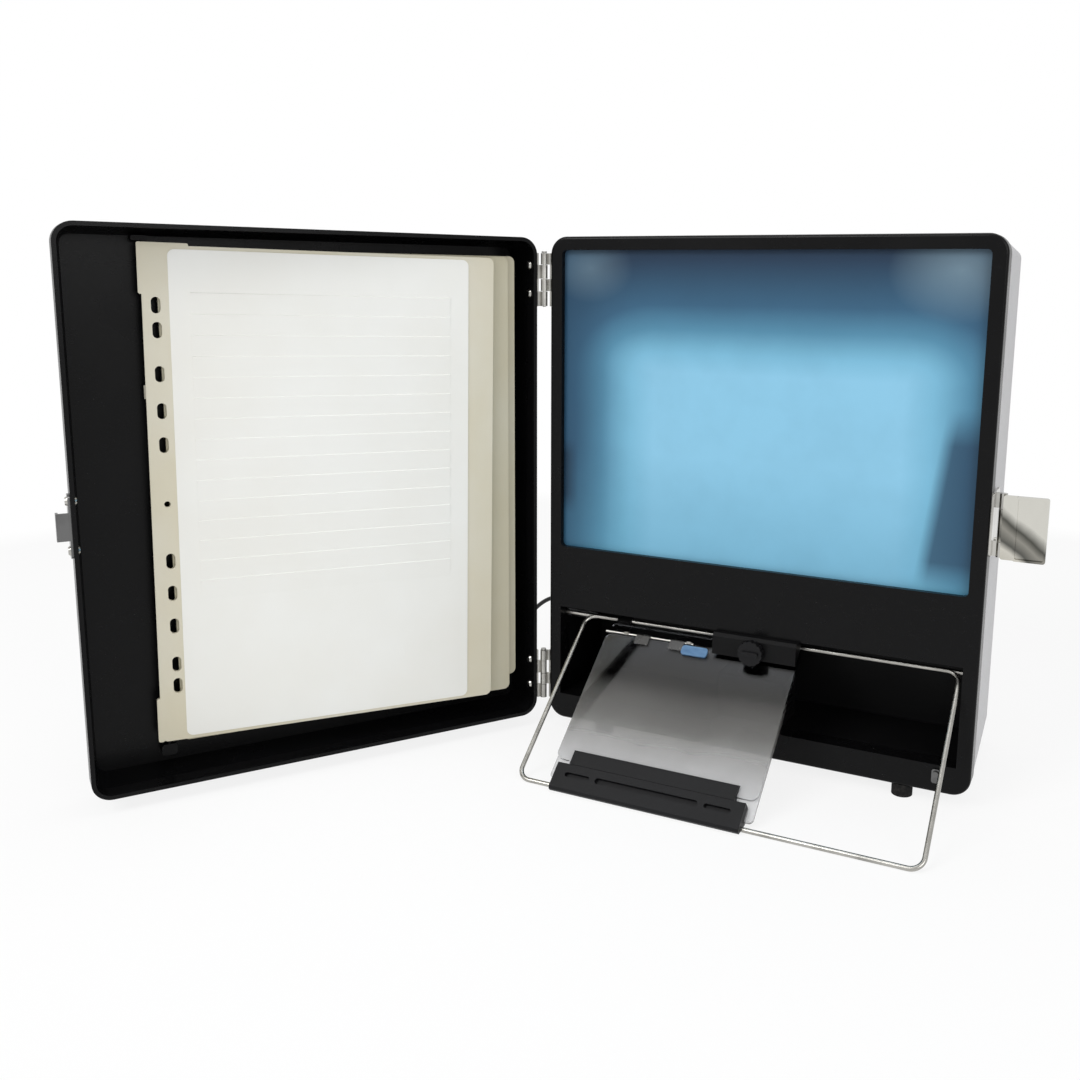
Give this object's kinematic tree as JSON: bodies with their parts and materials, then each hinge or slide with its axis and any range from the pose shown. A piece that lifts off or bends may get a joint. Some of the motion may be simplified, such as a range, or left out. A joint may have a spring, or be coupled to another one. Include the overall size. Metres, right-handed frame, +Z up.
{
  "type": "microfiche reader",
  "caption": "Case-style microfiche reader with a rear-projection screen, a pull-out tilting film stage with sliding glass carrier, and a hinged tray door holding index leaves",
  "frame": {"origin": "centre of the bounding box of the object without its lead, on the table plane", "axes": "+X right across the screen, +Y from the reader's eye into the case, +Z up"},
  "size_m": [0.5762, 0.377, 0.344],
  "materials": {
    "black_frame": "satin moulded",
    "grey_shell": "satin grey paint",
    "screen": "blue-tinted projection screen",
    "black_part": "matte",
    "steel": "nickel plated",
    "chrome": "bright plated",
    "clear": "clear float glass",
    "mirror": "front silvered",
    "rubber": "matte",
    "blue_clip": "translucent blue",
    "card": "cream board",
    "sheet": "white pocket sheet",
    "iron": "varnished laminations",
    "ceramic": "plain",
    "lead": "flexible black sheath"
  },
  "bodies": {
    "case": {"front_frame": "black_frame", "case_shell": "grey_shell", "shell_screws": "steel", "projection_screen": "screen", "screen_retainer": "black_part", "recess_liner": "black_part", "feet": "rubber", "stow_hook": "steel", "focus_block": "black_part", "lens_mount": "black_part", "small_mirror": "mirror", "mirror_cheeks": "black_part", "main_mirror": "mirror", "mirror_gussets": "steel", "lamp_house": "black_part", "condenser_lens": "clear", "lamp_socket": "ceramic", "reflector": "steel", "lamp_bulb": "clear", "transformer": "iron", "switch_body": "black_part", "cord_gland": "black_part", "case_leaves": "steel", "hinge_pins": "steel", "case_rivets": "steel", "latch_base": "chrome", "latch_rivets": "steel", "lead_coil": "lead", "power_lead": "lead", "lead_plug": "lead", "plug_pins": "steel"},
    "door": {"door_tray": "black_frame", "door_leaves": "steel", "door_rivets": "steel", "keeper": "steel", "index_spine": "black_part", "index_leaf_middle": "card", "index_leaf_rear": "card", "leaf_backing": "card", "leaf_pads": "card"},
    "index_leaf": {"index_leaf_front": "card", "pocket_sheet": "sheet"},
    "stage_shoes": {"rail_shoes": "black_part"},
    "stage": {"wire_frame": "steel"},
    "carrier": {"lower_glass": "clear", "rail_guides": "black_part", "hinge_rod": "steel", "rod_collars": "steel", "carrier_handle": "black_part"},
    "cover_glass": {"upper_glass": "clear", "glass_clips": "steel", "lift_tab": "blue_clip", "glass_grip": "black_part"},
    "knob": {"focus_knob": "black_part"},
    "lens": {"lens_barrel": "black_part", "projection_lens": "clear"},
    "rocker": {"rocker": "black_part"},
    "lever": {"latch_lever": "chrome"},
    "bail": {"latch_bail": "chrome"}
  },
  "joints": [
    {"name": "door_hinge", "type": "hinge", "parent": "case", "child": "door", "pos_m": [-0.06923, 0.06513, 0.176], "axis": [0, 0, -1], "range_deg": [-48, 56]},
    {"name": "index_turn", "type": "hinge", "parent": "door", "child": "index_leaf", "pos_m": [-0.22694, -0.12899, 0.176], "axis": [0, 0, -1], "range_deg": [0, 95]},
    {"name": "stage_slide", "type": "slide", "parent": "case", "child": "stage_shoes", "axis": [0, -0.9468, 0.3219], "range_m": [-0.05281, 0]},
    {"name": "stage_tilt", "type": "hinge", "parent": "stage_shoes", "child": "stage", "pos_m": [0.08107, 0.07483, 0.0835], "axis": [-1, 0, 0], "range_deg": [0, 40.2]},
    {"name": "carrier_slide", "type": "slide", "parent": "stage", "child": "carrier", "axis": [1, 0, 0], "range_m": [-0.015, 0.09]},
    {"name": "cover_lift", "type": "hinge", "parent": "carrier", "child": "cover_glass", "pos_m": [0.04907, 0.06584, 0.07709], "axis": [-1, 0, 0], "range_deg": [0, 5]},
    {"name": "focus_turn", "type": "hinge", "parent": "case", "child": "knob", "pos_m": [0.08807, 0.05883, 0.0814], "axis": [0, -1, 0], "range_deg": [-50, 50]},
    {"name": "lens_focus", "type": "slide", "parent": "case", "child": "lens", "axis": [0, 0, 1], "range_m": [-0.0015, 0.0015]},
    {"name": "rocker_tip", "type": "hinge", "parent": "case", "child": "rocker", "pos_m": [-0.00443, 0.18043, 0.068], "axis": [0, 0, 1], "range_deg": [-8, 8]},
    {"name": "latch_turn", "type": "hinge", "parent": "case", "child": "lever", "pos_m": [0.23257, 0.07182, 0.1775], "axis": [0, 0, 1], "range_deg": [0, 80]},
    {"name": "bail_turn", "type": "hinge", "parent": "lever", "child": "bail", "pos_m": [0.23717, 0.07283, 0.1775], "axis": [0, 0, 1], "range_deg": [0, 18]}
  ],
  "couplings": [
    {"joint": "stage_tilt", "follows": "stage_slide", "rad_per_m": -13.286},
    {"joint": "focus_turn", "follows": "lens_focus", "rad_per_m": 581.77}
  ]
}
